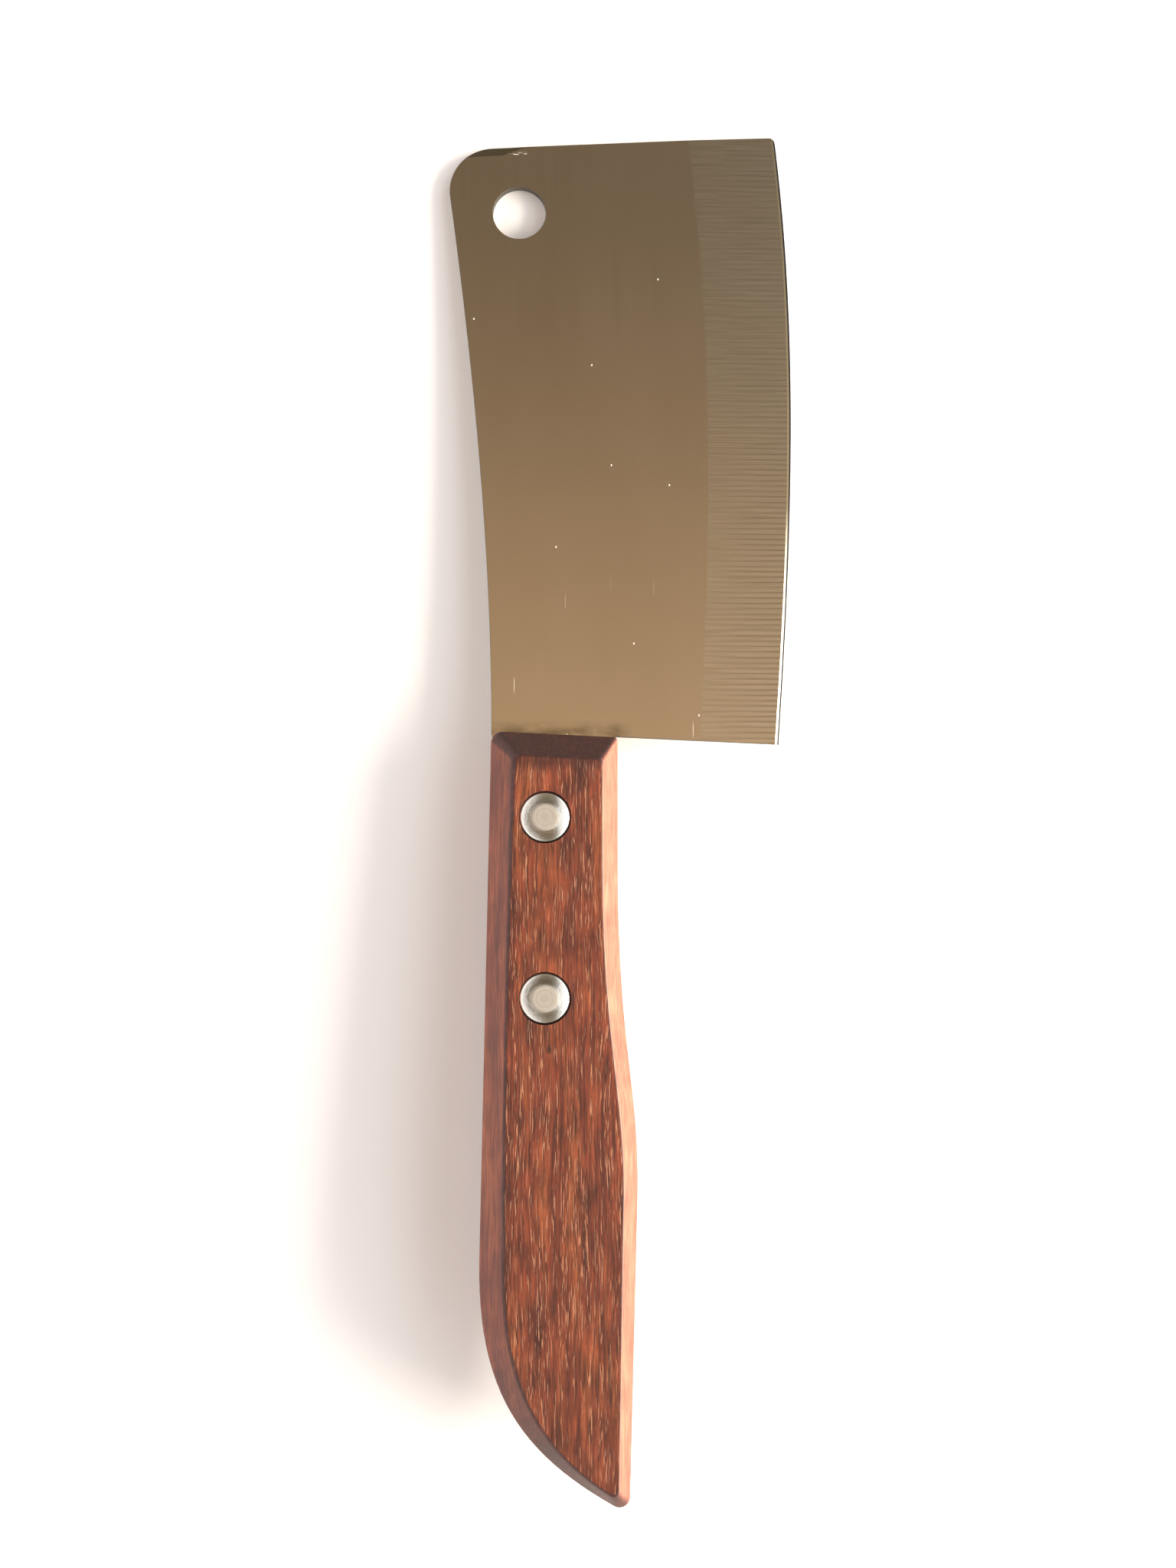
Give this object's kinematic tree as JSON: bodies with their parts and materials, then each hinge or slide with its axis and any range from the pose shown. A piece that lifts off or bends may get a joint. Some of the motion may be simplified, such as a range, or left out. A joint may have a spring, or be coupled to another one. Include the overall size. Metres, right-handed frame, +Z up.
{
  "type": "kitchen cleaver",
  "caption": "Small kitchen cleaver with a flat steel blade, a hanging hole and a ground bevel, its tang riveted into a slotted, chamfered hardwood handle.",
  "frame": {"origin": "middle of the cleaver's bounding box in plan, at the height of the handle's lower flat", "axes": "+Y from the butt of the handle to the tip of the blade, +X from the spine to the cutting edge, +Z up, square to the blade"},
  "size_m": [0.0574, 0.2248, 0.016],
  "materials": {
    "blade_steel": "satin stainless steel, ground across the bevel",
    "handle_wood": "sanded and oiled reddish hardwood with open pores",
    "rivet_metal": "turned, lightly worn"
  },
  "bodies": {
    "root": {"blade": "blade_steel", "handle": "handle_wood", "front_rivet_pin": "rivet_metal", "front_rivet_tube": "rivet_metal", "rear_rivet_pin": "rivet_metal", "rear_rivet_tube": "rivet_metal"}
  },
  "joints": []
}
